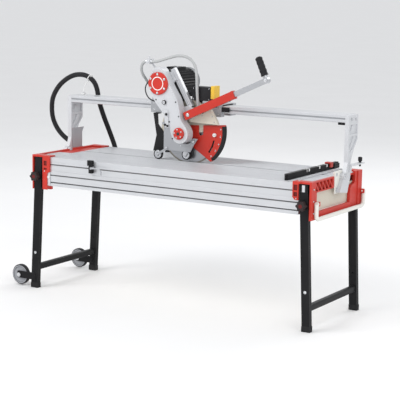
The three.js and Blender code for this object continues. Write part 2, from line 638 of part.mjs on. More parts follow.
function fanCover() {
  const { x, z } = PULLEY;
  const cap = turned([[0, 0], [74, 0], [74, 28], [64, 36], [0, 36]], [x, 498 + GAP, z], [0, 1, 0], 36);
  const slots = Array.from({ length: 7 }, (_, i) => block(x - 46, x + 46, 528, 540, z - 38 + i * 12, z - 34 + i * 12));
  return cut(cap, ...slots);
}
add('fan_cover', fanCover(), 'grey');

// Point on the axis of the handle, a given distance from its lower end.
const along = (s) => [HANDLE.x + HANDLE.dx * s, HANDLE.z + HANDLE.dz * s];

function handleTube() {
  const sleeve = cut(barXZ(along(0), along(325), 42, 241.5, 268.5), barXZ(along(4), along(330), 29, 246, 264));
  return join(sleeve, discY(-18, 1018, 13, 268, 274.1, 20));
}
add('handle_tube', handleTube(), 'red');

function handleSlide() {
  const [kx, kz] = along(536);
  return join(
    barXZ(along(165), along(536), 28, 246.5, 263.5),
    discY(kx, kz, 17, 241, 269, 22),
    turned([[0, 0], [12, 0], [12, 26], [7, 26], [7, 100], [0, 100]], [kx, HANDLE.y, kz], [-HANDLE.dz, 0, HANDLE.dx], 20),
  );
}
add('handle_slide', handleSlide(), 'steel');

function handleGrip() {
  const [kx, kz] = along(536);
  const seat = 27;
  const waist = Array.from({ length: 17 }, (_, i) => [19.5 - 2 * (1 - Math.cos(i * Math.PI / 2)) / 2, 4 + i * 5.6]);
  const profile = [[7.3, 0], [20.5, 0], ...waist, [17, 98], [9, 103], [0, 103], [0, 74.3], [7.3, 74.3], [7.3, 0]];
  const start = [kx - HANDLE.dz * seat, HANDLE.y, kz + HANDLE.dx * seat];
  return turned(profile, start, [-HANDLE.dz, 0, HANDLE.dx], 20);
}
add('handle_grip', handleGrip(), 'black');

// ---------------------------------------------------------------- switch
const BUTTONS = { start_button: [316, 'green'], stop_button: [344, 'red'] };
const BUTTON_Z = 1132;

function switchBox() {
  const body = join(block(-32, 80, 300, 360, 1088.5, 1162), block(-64, -31, 308 + GAP, 324, 1108, 1136));
  return cut(body, ...Object.values(BUTTONS).map(([y]) => discX(y, BUTTON_Z, 9.4, 69, 81, 18)));
}
add('switch_box', switchBox(), 'black');
for (const [name, [y, paint]] of Object.entries(BUTTONS)) add(name, discX(y, BUTTON_Z, 9, 73, 86, 18), paint);
add('switch_cover', cut(block(83, 105, 302, 358, 1101, 1170), block(82, 101.5, 305, 355, 1100, 1166)), 'yellow');

// ---------------------------------------------------------------- guards and blade
const sectorOfHub = (radius, from, to, steps) => arc(HUB.x, HUB.z, radius, from, to, steps);

function fixedGuard() {
  const face = slabXZ([[-37, 971], [-47, 1010], [-47, 1040], [-27, 1040], [-19, 1006], [93, 1046], [131, 988], [140, 967]], 286 + GAP, 304);
  const frontSkin = slabXZ(sectorOfHub(178, 10, 200, 26), 321, 323.5);
  const backSkin = slabXZ([...sectorOfHub(178, 10, 200, 26), ...sectorOfHub(42, 200, 10, 14)], 334, 336.5);
  const rim = slabXZ([...sectorOfHub(178.4, 55, 108, 10), ...sectorOfHub(176.4, 108, 55, 10)], 322, 335.5);
  return join(face, discZ(10, 295, 8.6, 1010, 1032), block(-47, -27, 303, 322, 1012, 1040), cut(frontSkin, discY(HUB.x, HUB.z, 40, 318, 326)), backSkin, rim);
}
add('fixed_guard', fixedGuard(), 'cream');

const SECTOR = { x: -40, z: 925, radius: 203 };

function guardSector() {
  const rimArc = (radius) => arc(SECTOR.x, SECTOR.z, radius, 11, -53.7, 18);
  const skin = [[-56, 950], ...rimArc(SECTOR.radius), [-28, 830], [-40, 880], [-80, 890], [-80, 930]];
  const rim = [...rimArc(SECTOR.radius), ...rimArc(SECTOR.radius - 6).reverse()];
  const bore = discY(HUB.x, HUB.z, SPINDLE + 6.5, 310, 320, 20);
  const backSkin = [...rimArc(SECTOR.radius), [10, 800], [0, 860], [0, 950]];
  const slot = [...sectorOfHub(170, -38, -12, 8), ...sectorOfHub(160, -12, -38, 8)];
  const notch = [[4, 912], ...arc(18, 912, 14, 180, 360, 6), [32, 912], [32, 975], [4, 975]];
  const openings = [slabXZ(slot, 313, 320), slabXZ(notch, 313, 320), discY(105, 908, 4.4, 313, 320, 12)];
  return cut(join(slabXZ(skin, 315, 318), slabXZ(backSkin, 338, 340.5), slabXZ(rim, 316, 340)), bore, ...openings);
}
add('guard_sector', guardSector(), 'red');
add('guard_knob', join(discY(105, 908, 10, 306, 315 - GAP, 20), discY(105, 908, 4, 314, 319.5, 12)), 'white');

add('blade', slabXZ(ring(HUB.x, HUB.z, BLADE.radius, 72), SLOT_Y - BLADE.half, SLOT_Y + BLADE.half, [ring(HUB.x, HUB.z, SPINDLE + 0.5, 20)]), 'steel');

const spindleProfile = [
  [0, 0], [21, 0], [21, 2], [17.6, 2.2], [17.6, 20], [21, 20.2], [21, 22], [SPINDLE, 22],
  [SPINDLE, 85.8], [34, 85.8], [34, 90.2], [SPINDLE, 90.2], [SPINDLE, 93.8], [32, 93.8], [32, 97.2], [0, 97.2],
];
add('blade_spindle', turned(spindleProfile, [HUB.x, 238, HUB.z], [0, 1, 0], 32), 'steel');

// ---------------------------------------------------------------- water feed and cords
function waterTap() {
  const valve = block(-298, -276, 250, 292, 1273, 1300);
  const lever = block(-292, -282, 260, 267, 1299, 1316);
  const bracket = barXZ([-222, 1212], [-290, 1284], 11, 286 + GAP, 291);
  return cut(join(valve, lever, bracket), discX(263, 1286, HOSE_RADIUS + 0.5, -300, -274, 16));
}
add('water_tap', waterTap(), 'black');

const HOSE_PATH = [
  [-312, 356, 1080.5], [-312, 356, 1098], [-319, 344, 1130], [-333, 308, 1180], [-340, 276, 1222], [-339, 266, 1250],
  [-328, 263, 1273.5], [-314, 263, 1283], [-298, 263, 1286], [-276, 263, 1286], [-239, 266, 1288], [-167, 272, 1310],
  [-103, 278, 1324], [-45, 283, 1314], [-10, 285, 1280], [2, 286, 1230], [6, 287, 1150], [9, 291, 1085],
  [10, 295, 1056], [10, 295, 1032.5],
];
add('water_hose', tube(HOSE_PATH, HOSE_RADIUS, 76, 8), 'black');

const LOOP_PATH = [
  [-903, 530, 732], [-945, 530, 736], [-992, 530, 753], [-1037, 529, 778], [-1080, 527, 808], [-1115, 525, 847],
  [-1139, 522, 897], [-1146, 519, 952], [-1134, 514, 1022], [-1085, 506, 1092], [-1018, 497, 1141], [-956, 489, 1166],
  [-903, 483, 1172], [-872, 481, 1169], [-847, 480, 1160.5],
];
add('conduit_loop', tube(LOOP_PATH, CONDUIT_RADIUS, 60, 10), 'black');

const SPAN_PATH = [
  [-835, 480, 1153.5], [-818, 480.5, 1141], [-803, 483, 1120], [-794, 488, 1090], [-792, 497, 1050], [-790, 513, 1000],
  [-786, 545, 930], [-776, 582, 850], [-758, 604, 775], [-728, 605, 700], [-680, 605, 630], [-610, 605, 580],
  [-530, 605, 572], [-465, 605, 610], [-410, 605, 690], [-365, 605, 790], [-330, 605, 880], [-309, 603, 956],
  [-303, 591, 998], [-301, 563, 1026], [-300, 533, 1035.5], [-300, 514, 1036],
];
add('conduit_span', tube(SPAN_PATH, CONDUIT_RADIUS, 72, 9), 'black');

export default group;
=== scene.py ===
import json
import math

import bmesh
import bpy
from mathutils import Matrix, Quaternion, Vector


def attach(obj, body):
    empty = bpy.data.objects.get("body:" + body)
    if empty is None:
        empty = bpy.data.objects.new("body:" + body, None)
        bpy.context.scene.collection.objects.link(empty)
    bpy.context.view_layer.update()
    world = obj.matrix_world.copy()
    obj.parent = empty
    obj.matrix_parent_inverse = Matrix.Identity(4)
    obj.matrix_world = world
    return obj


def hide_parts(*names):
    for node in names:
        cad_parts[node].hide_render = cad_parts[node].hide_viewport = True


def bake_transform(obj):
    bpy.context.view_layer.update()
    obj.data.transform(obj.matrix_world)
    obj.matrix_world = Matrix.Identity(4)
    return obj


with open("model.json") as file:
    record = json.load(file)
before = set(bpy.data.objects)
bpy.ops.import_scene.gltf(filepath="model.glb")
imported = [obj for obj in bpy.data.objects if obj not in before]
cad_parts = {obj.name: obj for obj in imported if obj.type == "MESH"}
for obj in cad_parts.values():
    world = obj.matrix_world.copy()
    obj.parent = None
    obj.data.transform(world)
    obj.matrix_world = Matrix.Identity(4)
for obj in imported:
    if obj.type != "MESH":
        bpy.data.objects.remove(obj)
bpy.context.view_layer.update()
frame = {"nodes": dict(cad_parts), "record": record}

SHIFT = (68.0, -290.0)
HUB = (-62, 912)
PULLEY = (-196, 1174)
PIVOT = (-157, 1075)
SECTOR = (-40, 925)
TABLE_LEFT = -775
TABLE_RIGHT = 777
TABLE_BACK = 588
LEG_DEPTHS = (0, 554)
HANDLE_FOOT = (-45, 1004)
HANDLE_ALONG = (0.9137, 0.4066)
ROLLERS = {"left": (-248, 779), "right": (-66, 789)}
LEFT_KNOB_X = -845.8
RIGHT_KNOB_X = 807.8
KNOB_Z = 640
WHEEL = (-980, 62)


def place(x, y, z):
    """A machine point in millimetres as a point of the row frame in metres."""
    return Vector(((x + SHIFT[0]) / 1000, (y + SHIFT[1]) / 1000, z / 1000))


# ------------------------------------------------------------------ materials
def new_material(name, metallic, roughness):
    material = bpy.data.materials.new(name)
    material.use_nodes = True
    shader = material.node_tree.nodes["Principled BSDF"]
    shader.inputs["Metallic"].default_value = metallic
    shader.inputs["Roughness"].default_value = roughness
    return material, material.node_tree, shader


def math_node(tree, operation, a, b=0.0, clamp=False):
    """Output of a math node whose inputs are numbers or other outputs."""
    node = tree.nodes.new("ShaderNodeMath")
    node.operation = operation
    node.use_clamp = clamp
    for socket, value in zip(node.inputs, (a, b)):
        if isinstance(value, (int, float)):
            socket.default_value = value
        else:
            tree.links.new(value, socket)
    return node.outputs[0]


def mix_colour(tree, factor, a, b):
    """Output that goes from a to b, each a colour or another output, as factor goes from 0 to 1."""
    node = tree.nodes.new("ShaderNodeMix")
    node.data_type = "RGBA"
    tree.links.new(factor, node.inputs[0])
    for socket, value in ((node.inputs[6], a), (node.inputs[7], b)):
        if isinstance(value, tuple):
            socket.default_value = (*value, 1.0)
        else:
            tree.links.new(value, socket)
    return node.outputs[2]


def noise(tree, scale, detail, stretch=(1.0, 1.0, 1.0)):
    coordinates = tree.nodes.new("ShaderNodeTexCoord")
    mapping = tree.nodes.new("ShaderNodeMapping")
    mapping.inputs["Scale"].default_value = stretch
    texture = tree.nodes.new("ShaderNodeTexNoise")
    texture.inputs["Scale"].default_value = scale
    texture.inputs["Detail"].default_value = detail
    tree.links.new(coordinates.outputs["Object"], mapping.inputs["Vector"])
    tree.links.new(mapping.outputs[0], texture.inputs["Vector"])
    return texture.outputs["Fac"]


def edge_mask(tree, radius):
    """1 along convex and concave edges, 0 on flats."""
    bevel = tree.nodes.new("ShaderNodeBevel")
    bevel.samples = 4
    bevel.inputs["Radius"].default_value = radius
    geometry = tree.nodes.new("ShaderNodeNewGeometry")
    dot = tree.nodes.new("ShaderNodeVectorMath")
    dot.operation = "DOT_PRODUCT"
    tree.links.new(bevel.outputs[0], dot.inputs[0])
    tree.links.new(geometry.outputs["Normal"], dot.inputs[1])
    turned = math_node(tree, "SUBTRACT", 1.0, dot.outputs["Value"])
    return bevel.outputs[0], math_node(tree, "MULTIPLY", turned, 4.0, True)


def surface(name, colour, metallic=0.0, roughness=0.45, grain=60.0, stretch=(1.0, 1.0, 1.0),
            variation=0.12, bump=0.08, wear=None, wear_amount=0.5, edge=0.0015, zones=()):
    """Painted, moulded or metal finish with uneven tone, gloss and edges.

    zones are (kind, numbers, colour): 'disc' is a ring about an axis along Y, and
    'tilt_plate' is everything above a height and left of an x position.
    """
    material, tree, shader = new_material(name, metallic, roughness)
    fine = noise(tree, grain, 4.0, stretch)
    broad = noise(tree, 7.0, 2.0)
    dark = tuple(c * (1 - variation) for c in colour)
    light = tuple(min(1.0, c * (1 + variation) + 0.01) for c in colour)
    tone = mix_colour(tree, broad, dark, light)
    for zone in zones:
        tone = mix_colour(tree, zone_mask(tree, zone), tone, zone[2])
    rounded, edges = edge_mask(tree, edge)
    chipped = math_node(tree, "MULTIPLY", edges, math_node(tree, "MULTIPLY", fine, wear_amount * 1.6), True)
    worn = wear or tuple(min(1.0, c * 1.5 + 0.05) for c in colour)
    tree.links.new(mix_colour(tree, chipped, tone, worn), shader.inputs["Base Color"])
    spread = math_node(tree, "MULTIPLY_ADD", fine, 0.22)
    spread.node.inputs[2].default_value = roughness - 0.11
    tree.links.new(spread, shader.inputs["Roughness"])
    relief = tree.nodes.new("ShaderNodeBump")
    relief.inputs["Strength"].default_value = bump
    relief.inputs["Distance"].default_value = 0.001
    tree.links.new(fine, relief.inputs["Height"])
    tree.links.new(rounded, relief.inputs["Normal"])
    tree.links.new(relief.outputs[0], shader.inputs["Normal"])
    if metallic < 0.1:
        shader.inputs["Specular IOR Level"].default_value = 0.1 if max(colour) < 0.05 else 0.3
    return material


def zone_mask(tree, zone):
    """1 inside the zone and 0 outside it; zone is as for surface()."""
    kind, numbers, _ = zone
    coordinates = tree.nodes.new("ShaderNodeTexCoord")
    split = tree.nodes.new("ShaderNodeSeparateXYZ")
    tree.links.new(coordinates.outputs["Object"], split.inputs[0])
    x, y, z = split.outputs
    if kind == "disc":
        cx, cz, inner, outer = numbers
        centre = place(cx, 0, cz)
        dx = math_node(tree, "SUBTRACT", x, centre.x)
        dz = math_node(tree, "SUBTRACT", z, centre.z)
        square_x = math_node(tree, "MULTIPLY", dx, dx)
        square_z = math_node(tree, "MULTIPLY", dz, dz)
        square = math_node(tree, "ADD", square_x, square_z)
        reach = math_node(tree, "SQRT", square)
        inside = math_node(tree, "LESS_THAN", reach, outer / 1000)
        return math_node(tree, "MULTIPLY", inside, math_node(tree, "GREATER_THAN", reach, inner / 1000))
    if kind == "tilt_plate":
        low, left = numbers
        high = math_node(tree, "GREATER_THAN", z, low / 1000)
        return math_node(tree, "MULTIPLY", high, math_node(tree, "LESS_THAN", x, place(left, 0, 0).x))
    raise ValueError(kind)


RED = (0.53, 0.030, 0.018)
PALE = (0.58, 0.59, 0.61)
BLACK = (0.009, 0.009, 0.010)
GREY = (0.33, 0.34, 0.36)
METAL_GREY = (0.42, 0.43, 0.45)
ALONG_X = (0.03, 1.0, 1.0)

MATERIALS = {
    "aluminium": surface("aluminium", (0.60, 0.61, 0.63), 0.5, 0.38, 340.0, ALONG_X, 0.05, 0.02,
                         wear_amount=0.3),
    "cast_grey": surface("cast_grey", (0.40, 0.41, 0.43), 0.35, 0.46, 220.0, variation=0.09, bump=0.14),
    "light_grey": surface("light_grey", PALE, 0.12, 0.42, 260.0, variation=0.06, bump=0.10),
    "red_paint": surface("red_paint", RED, 0.0, 0.34, 180.0, variation=0.10, bump=0.09,
                         wear=(0.62, 0.16, 0.10)),
    "red_casting": surface("red_casting", RED, 0.0, 0.40, 240.0, variation=0.14, bump=0.22,
                           wear=(0.62, 0.18, 0.12),
                           zones=[("tilt_plate", (758.5, -875), (0.36, 0.37, 0.39))]),
    "black_paint": surface("black_paint", BLACK, 0.0, 0.38, 260.0, variation=0.2, bump=0.12,
                           wear=(0.16, 0.16, 0.17)),
    "white_paint": surface("white_paint", (0.76, 0.75, 0.70), 0.0, 0.36, 150.0, variation=0.04, bump=0.06),
    "steel": surface("steel", (0.50, 0.51, 0.53), 0.85, 0.32, 260.0, (0.06, 1.0, 1.0), 0.05, 0.03),
    "black_plastic": surface("black_plastic", (0.018, 0.018, 0.02), 0.0, 0.46, 420.0, variation=0.2,
                             bump=0.16, wear=(0.07, 0.07, 0.07)),
    "cream_plastic": surface("cream_plastic", (0.60, 0.56, 0.47), 0.0, 0.42, 130.0,
                             variation=0.07, bump=0.08),
    "grey_plastic": surface("grey_plastic", (0.20, 0.21, 0.22), 0.0, 0.5, 300.0, variation=0.12, bump=0.14),
    "white_plastic": surface("white_plastic", (0.78, 0.78, 0.77), 0.0, 0.30, 120.0,
                             variation=0.04, bump=0.04),
    "yellow_plastic": surface("yellow_plastic", (0.80, 0.52, 0.05), 0.0, 0.34, 160.0,
                              variation=0.08, bump=0.06),
    "green_plastic": surface("green_plastic", (0.03, 0.30, 0.08), 0.0, 0.34, 160.0,
                             variation=0.08, bump=0.06),
    "rubber": surface("rubber", (0.020, 0.020, 0.021), 0.0, 0.72, 500.0, variation=0.25, bump=0.22,
                      wear=(0.09, 0.09, 0.09)),
    "bright": surface("bright", (0.62, 0.63, 0.65), 0.9, 0.26, 200.0, variation=0.06, bump=0.04),
    "shadow": surface("shadow", (0.022, 0.022, 0.024), 0.1, 0.6, 240.0, variation=0.2, bump=0.08),
    # Painted shade for the inside of the table's grooves.
    "groove": surface("groove", (0.15, 0.15, 0.155), 0.2, 0.55, 240.0, variation=0.15, bump=0.06),
    # Painted shade for the pocket floors of the red castings.
    "red_recess_shade": surface("red_recess_shade", (0.16, 0.008, 0.006), 0.0, 0.55, 240.0, variation=0.2, bump=0.1),
    "tray": surface("tray", (0.56, 0.57, 0.59), 0.3, 0.40, 200.0, ALONG_X, 0.05, 0.05),
    "hose": surface("hose", (0.42, 0.43, 0.43), 0.0, 0.30, 90.0, variation=0.10, bump=0.05),
    "leg_knob_left": surface("leg_knob_left", (0.03, 0.022, 0.022), 0.0, 0.42, 300.0,
                             zones=[("disc", (LEFT_KNOB_X, KNOB_Z, 0, 10), (0.14, 0.02, 0.02))]),
    "leg_knob_right": surface("leg_knob_right", (0.03, 0.022, 0.022), 0.0, 0.42, 300.0,
                              zones=[("disc", (RIGHT_KNOB_X, KNOB_Z, 0, 10), (0.14, 0.02, 0.02))]),
    "cover_red": surface("cover_red", RED, 0.0, 0.32, 180.0, bump=0.06,
                         zones=[("disc", (*PULLEY, 32, 37), (0.85, 0.84, 0.82))]),
    "wheel": surface("wheel", (0.022, 0.022, 0.024), 0.0, 0.6, 300.0, bump=0.18,
                     zones=[("disc", (*WHEEL, 0, 51), GREY),
                            ("disc", (*WHEEL, 43.4, 45), (0.08, 0.08, 0.09))]),
    "blade_steel": surface("blade_steel", METAL_GREY, 0.9, 0.34, 260.0, variation=0.1, bump=0.05,
                           zones=[("disc", (*HUB, 166, 180), (0.24, 0.22, 0.19))]),
}

NODE_LOOKS = {
    "end_casting_left": "red_casting", "end_casting_right": "red_casting",
    "leg_knob_front_left": "leg_knob_left", "leg_knob_back_left": "leg_knob_left",
    "leg_knob_front_right": "leg_knob_right", "leg_knob_back_right": "leg_knob_right",
    "wheel_front": "wheel", "wheel_back": "wheel", "pulley_cover": "cover_red",
    "blade": "blade_steel", "water_hose": "hose", "stop_button": "red_paint", "stop_slider": "red_paint",
    "water_tap": "light_grey", "clamp_lever": "cast_grey", "hose_holder": "white_plastic",
    "scale_rail": "tray",
}
SLOTS = {part["node"]: part["material_slot"] for part in frame["record"]["subparts"]}


def dress(obj, look):
    obj.data.materials.clear()
    obj.data.materials.append(MATERIALS[look])


for node_name, node in frame["nodes"].items():
    dress(node, NODE_LOOKS.get(node_name, SLOTS[node_name]))


# ------------------------------------------------------------------ mesh helpers
class Shapes:
    """Collects simple solids, given in machine millimetres, into one mesh."""

    def __init__(self):
        self.points = []
        self.faces = []

    def add(self, points, faces):
        start = len(self.points)
        self.points += [place(*p) for p in points]
        self.faces += [[start + i for i in face] for face in faces]
        return self

    def box(self, x0, x1, y0, y1, z0, z1):
        points = [(x, y, z) for x in (x0, x1) for y in (y0, y1) for z in (z0, z1)]
        faces = [(0, 1, 3, 2), (4, 6, 7, 5), (0, 4, 5, 1), (2, 3, 7, 6), (0, 2, 6, 4), (1, 5, 7, 3)]
        return self.add(points, faces)

    def turned(self, start, axis, profile, sides=20):
        """A body turned about the line from start along axis; profile is (radius, height)."""
        spin = Vector((0, 0, 1)).rotation_difference(Vector(axis))
        rings = []
        for radius, height in profile:
            for i in range(sides):
                angle = 2 * math.pi * i / sides
                local = Vector((radius * math.cos(angle), radius * math.sin(angle), height))
                rings.append(Vector(start) + spin @ local)
        return self.add(rings, tube_faces(len(profile), sides))

    def bolt(self, x, y, z, axis, radius=5.0, height=4.0):
        """Hexagon head on a washer."""
        washer = [(radius * 1.45, -0.2), (radius * 1.45, height * 0.3)]
        self.turned((x, y, z), axis, washer, 20)
        return self.turned((x, y, z), axis, [(radius, 0), (radius, height * 0.9), (radius * 0.88, height)], 6)

    def screw(self, x, y, z, axis, radius=4.0, height=2.4):
        """Domed head with a hexagon socket."""
        dome = [(radius, -0.2), (radius, height * 0.5), (radius * 0.82, height), (radius * 0.45, height),
                (radius * 0.4, height * 0.35)]
        return self.turned((x, y, z), axis, dome, 18)

    def prism(self, outline, y0, y1):
        """An outline in x and z, from y0 to y1."""
        count = len(outline)
        points = [(x, y0, z) for x, z in outline] + [(x, y1, z) for x, z in outline]
        sides = [(i, (i + 1) % count, count + (i + 1) % count, count + i) for i in range(count)]
        return self.add(points, [list(range(count))[::-1], list(range(count, 2 * count)), *sides])

    def sweep(self, points, radius_at, sides=14):
        """A tube along points, whose radius is a function of the point's number."""
        frames = sweep_frames([Vector(p) for p in points])
        rings = []
        for k, (centre, across, up) in enumerate(frames):
            for i in range(sides):
                angle = 2 * math.pi * i / sides
                rings.append(centre + (across * math.cos(angle) + up * math.sin(angle)) * radius_at(k))
        return self.add(rings, tube_faces(len(frames), sides))

    def build(self, name, look, body, slot, smooth=35, bevel=0.0):
        """Makes the piece, in a look, riding on a body if one is given; slot is not used."""
        mesh = bpy.data.meshes.new(name)
        mesh.from_pydata(self.points, [], self.faces)
        mesh.validate()
        obj = bpy.data.objects.new(name, mesh)
        bpy.context.scene.collection.objects.link(obj)
        make_outward(mesh)
        smooth_by_angle(mesh, smooth)
        dress(obj, look)
        if bevel:
            modifier = obj.modifiers.new("edges", "BEVEL")
            modifier.width = bevel / 1000
            modifier.segments = 2
            modifier.limit_method = "ANGLE"
        if body:
            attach(obj, body)
        return obj


def tube_faces(ring_count, sides):
    """Faces of a tube through rings of points, with a cap at each end."""
    faces = [list(range(sides))[::-1]]
    for k in range(ring_count - 1):
        for i in range(sides):
            j = (i + 1) % sides
            faces.append((k * sides + i, k * sides + j, (k + 1) * sides + j, (k + 1) * sides + i))
    faces.append([(ring_count - 1) * sides + i for i in range(sides)])
    return faces


def make_outward(mesh):
    """Turns every face normal away from the inside of its solid."""
    work = bmesh.new()
    work.from_mesh(mesh)
    bmesh.ops.recalc_face_normals(work, faces=work.faces)
    work.to_mesh(mesh)
    work.free()


def smooth_by_angle(mesh, degrees):
    mesh.polygons.foreach_set("use_smooth", [True] * len(mesh.polygons))
    mesh.set_sharp_from_angle(angle=math.radians(degrees))


def sweep_frames(points):
    """Centre, side and up vectors along a line, turning as little as possible."""
    frames = []
    up = Vector((0, 1, 0.01)).normalized()
    for k, point in enumerate(points):
        ahead = points[min(k + 1, len(points) - 1)] - points[max(k - 1, 0)]
        ahead.normalize()
        across = ahead.cross(up).normalized()
        up = across.cross(ahead).normalized()
        frames.append((point, across, up))
    return frames


def curve_through(points, step):
    """Centripetal Catmull-Rom curve through the points, sampled about every step mm."""
    nodes = [Vector(p) for p in points]
    nodes = [nodes[0] * 2 - nodes[1], *nodes, nodes[-1] * 2 - nodes[-2]]
    line = []
    for a, b, c, d in zip(nodes, nodes[1:], nodes[2:], nodes[3:]):
        t = [0.0]
        for p, q in ((a, b), (b, c), (c, d)):
            t.append(t[-1] + max((q - p).length, 1e-6) ** 0.5)
        count = max(2, round((c - b).length / step))
        for i in range(count):
            u = t[1] + (t[2] - t[1]) * i / count
            ab = a.lerp(b, (u - t[0]) / (t[1] - t[0]))
            bc = b.lerp(c, (u - t[1]) / (t[2] - t[1]))
            cd = c.lerp(d, (u - t[2]) / (t[3] - t[2]))
            abc = ab.lerp(bc, (u - t[0]) / (t[2] - t[0]))
            bcd = bc.lerp(cd, (u - t[1]) / (t[3] - t[1]))
            line.append(abc.lerp(bcd, (u - t[1]) / (t[2] - t[1])))
    return [*line, nodes[-2]]


def arc(cx, cz, radius, start, end, steps):
    angles = [math.radians(start + (end - start) * i / steps) for i in range(steps + 1)]
    return [(cx + radius * math.cos(angle), cz + radius * math.sin(angle)) for angle in angles]


FRONT = (0, -1, 0)
BACK = (0, 1, 0)
UP = (0, 0, 1)
RIGHT = (1, 0, 0)
LEFT = (-1, 0, 0)

# ------------------------------------------------------------------ table and castings
DECK_GROOVES = (72, 176, 262, 420, 510)


def table_details():
    ribs = Shapes()
    for y in [*range(8, 318, 6), *range(344, 584, 6)]:
        if all(abs(y + 0.8 - groove) > 6 for groove in DECK_GROOVES):
            ribs.box(TABLE_LEFT, TABLE_RIGHT, y, y + 1.6, 749.8, 750.3)
    ribs.build("deck_ribs", "aluminium", "base", "aluminium")
    # Dark strips in the side and deck grooves are painted shade inside the grooves; the deeper a strip sits,
    # the darker its groove.
    groove_shade = Shapes()
    for z, depth in ((710, 2.5), (651, 5), (611, 7.5)):
        groove_shade.box(TABLE_LEFT, TABLE_RIGHT, depth, 7.9, z - 3.3, z + 3.3)
        groove_shade.box(TABLE_LEFT, TABLE_RIGHT, 580.1, TABLE_BACK - depth, z - 3.3, z + 3.3)
    for y in DECK_GROOVES:
        groove_shade.box(TABLE_LEFT, TABLE_RIGHT, y - 2.9, y + 2.9, 747, 747.6)
    groove_shade.build("groove_shade_strips", "groove", "base", "aluminium")
    trays = Shapes().box(-866, -777, 45, 215, 748.1, 750).box(779, 835, 45, 538, 748.1, 750)
    trays.build("roof_trays", "tray", "base", "light_grey", bevel=0.5)


def casting_details():
    """Bolts, painted shade on the pocket floors, and small plastic parts of the end castings."""
    heads = Shapes()
    for z in (690, 765):
        heads.bolt(849.5, 276, z, RIGHT, 6, 4)
    for z in (600, 660, 720):
        heads.screw(-880.9, 20, z, LEFT, 4.5).screw(851, 20, z, RIGHT, 4.5).screw(-880.9, 562, z, LEFT, 4.5)
    for x in (768, -792):
        heads.screw(x, 24, 757, UP, 4.5).screw(x, -9, 672, FRONT, 3.6)
    for x in (828, -866):
        heads.bolt(x, 0, 203, FRONT, 5.5, 4).bolt(x, 580, 203, BACK, 5.5, 4)
    heads.build("casting_bolts", "bright", "base", "steel")
    # Dark red sheets on the pocket floors are painted shade in the recesses.
    recess_shade = Shapes().box(836.05, 836.6, 50, 244, 706, 745)
    recess_shade.box(752.2, 773.8, -3.4, -3.05, 682.2, 740.8).box(-799.8, -778.2, -3.4, -3.05, 679.2, 728.8)
    recess_shade.build("casting_recess_shade", "red_recess_shade", "base", "red_paint")
    end_pad = Shapes().box(-775.6, -758.2, -4, -0.3, 592, 668)
    end_pad.build("apron_end_pad", "light_grey", "base", "white_plastic", bevel=0.8)
    boss = Shapes().turned((-767, -3.9, 640), FRONT, [(8, 0), (8, 3), (7, 5), (3, 5), (2.8, 3.4)])
    boss.build("casting_boss", "white_plastic", "base", "white_plastic")
    clip = Shapes().box(796, 812, -2.4, 0, 706, 740)
    clip.build("leg_clip", "light_grey", "base", "white_plastic", bevel=0.5)


def leg_details():
    feet = Shapes()
    for side in (-1, 1):
        x = -19 + side * 855.6
        for y in LEG_DEPTHS:
            feet.box(x - 24.4, x + 24.4, y - 1.6, y + 27.6, 0.2, 30)
    feet.build("foot_caps", "rubber", "base", "black_plastic", bevel=1.2)
    nuts = Shapes()
    for y in LEG_DEPTHS:
        nuts.bolt(WHEEL[0], y - 8, WHEEL[1], FRONT, 8.5, 5)
    nuts.build("wheel_nuts", "bright", "base", "steel")


def tank_details():
    rim = Shapes()
    rim.box(-849, 831, 61, 64.2, 697, 704).box(-849, 831, 523.8, 527, 697, 704)
    rim.box(-849, -845.8, 64, 524, 697, 704).box(827.8, 831, 64, 524, 697, 704)
    rim.build("tank_rim", "cream_plastic", "base", "cream_plastic", bevel=0.8)


def scale_details():
    marks = Shapes()
    for y in range(50, 541, 5):
        reach = 742 if y % 50 == 0 else 738
        marks.box(733.8, reach, y, y + 0.7, 755.9, 756.15)
    marks.build("scale_marks", "shadow", "base", "steel")
    bands = Shapes()
    for y in (246, 268, 388, 474):
        width = 6 if y == 246 else 13
        bands.box(674.6, 695.4, y, y + width, 768.3, 782.3)
    bands.build("fence_marks", "white_plastic", "base", "white_plastic")


# ------------------------------------------------------------------ bridge
def bridge_details():
    # A darker strip in the rail groove is painted shade inside the groove.
    rail_shade_strip = Shapes().box(-879, 849, 360.9, 361.9, 1038.3, 1045.7)
    rail_shade_strip.build("rail_groove_shade", "cast_grey", "bridge", "aluminium")
    heads = Shapes()
    for y in (385, 435):
        heads.bolt(872, y, 1038, RIGHT, 6.5, 5).bolt(-902, y, 1038, LEFT, 6.5, 5)
    for x, axis in ((872, RIGHT), (-902, LEFT)):
        heads.turned((x, 330, 750), axis, [(16, -0.2), (16, 2.5), (13, 5), (6, 5), (5.5, 3)])
    heads.screw(894, 390, 809, UP, 4).screw(894, 440, 809, UP, 4)
    heads.build("bridge_bolts", "bright", "bridge", "steel")
    Shapes().bolt(-867, 454, 1070, UP, 5, 4).build("holder_bolt", "bright", "bridge", "steel")


# ------------------------------------------------------------------ carriage
def carriage_details():
    heads = Shapes()
    for x in (-305, 60, 108):
        for z in (1018, 1054):
            heads.screw(x, 342, z, FRONT, 4.4, 0.35)
    for x in (-280, -120, 60):
        heads.bolt(x, 484, 1069, UP, 5, 4)
    heads.bolt(-183, 284, 818, FRONT, 4.6, 3).bolt(-13, 284, 866, FRONT, 4.6, 3)
    heads.screw(-92, 288, 838, FRONT, 4).screw(-218, 288, 1052, FRONT, 4)
    heads.build("carriage_bolts", "bright", "carriage", "steel")
    wipers = Shapes().box(126, 129, 358, 464, 1063.4, 1068.6).box(-327, -324, 358, 464, 1063.4, 1068.6)
    wipers.build("carriage_wipers", "rubber", "carriage", "black_plastic", bevel=0.6)
    Shapes().turned((PIVOT[0], 212, PIVOT[1]), FRONT, [(9, -0.2), (9, 1.5), (4, 2.2)]).build(
        "pivot_cap", "bright", "carriage", "steel")


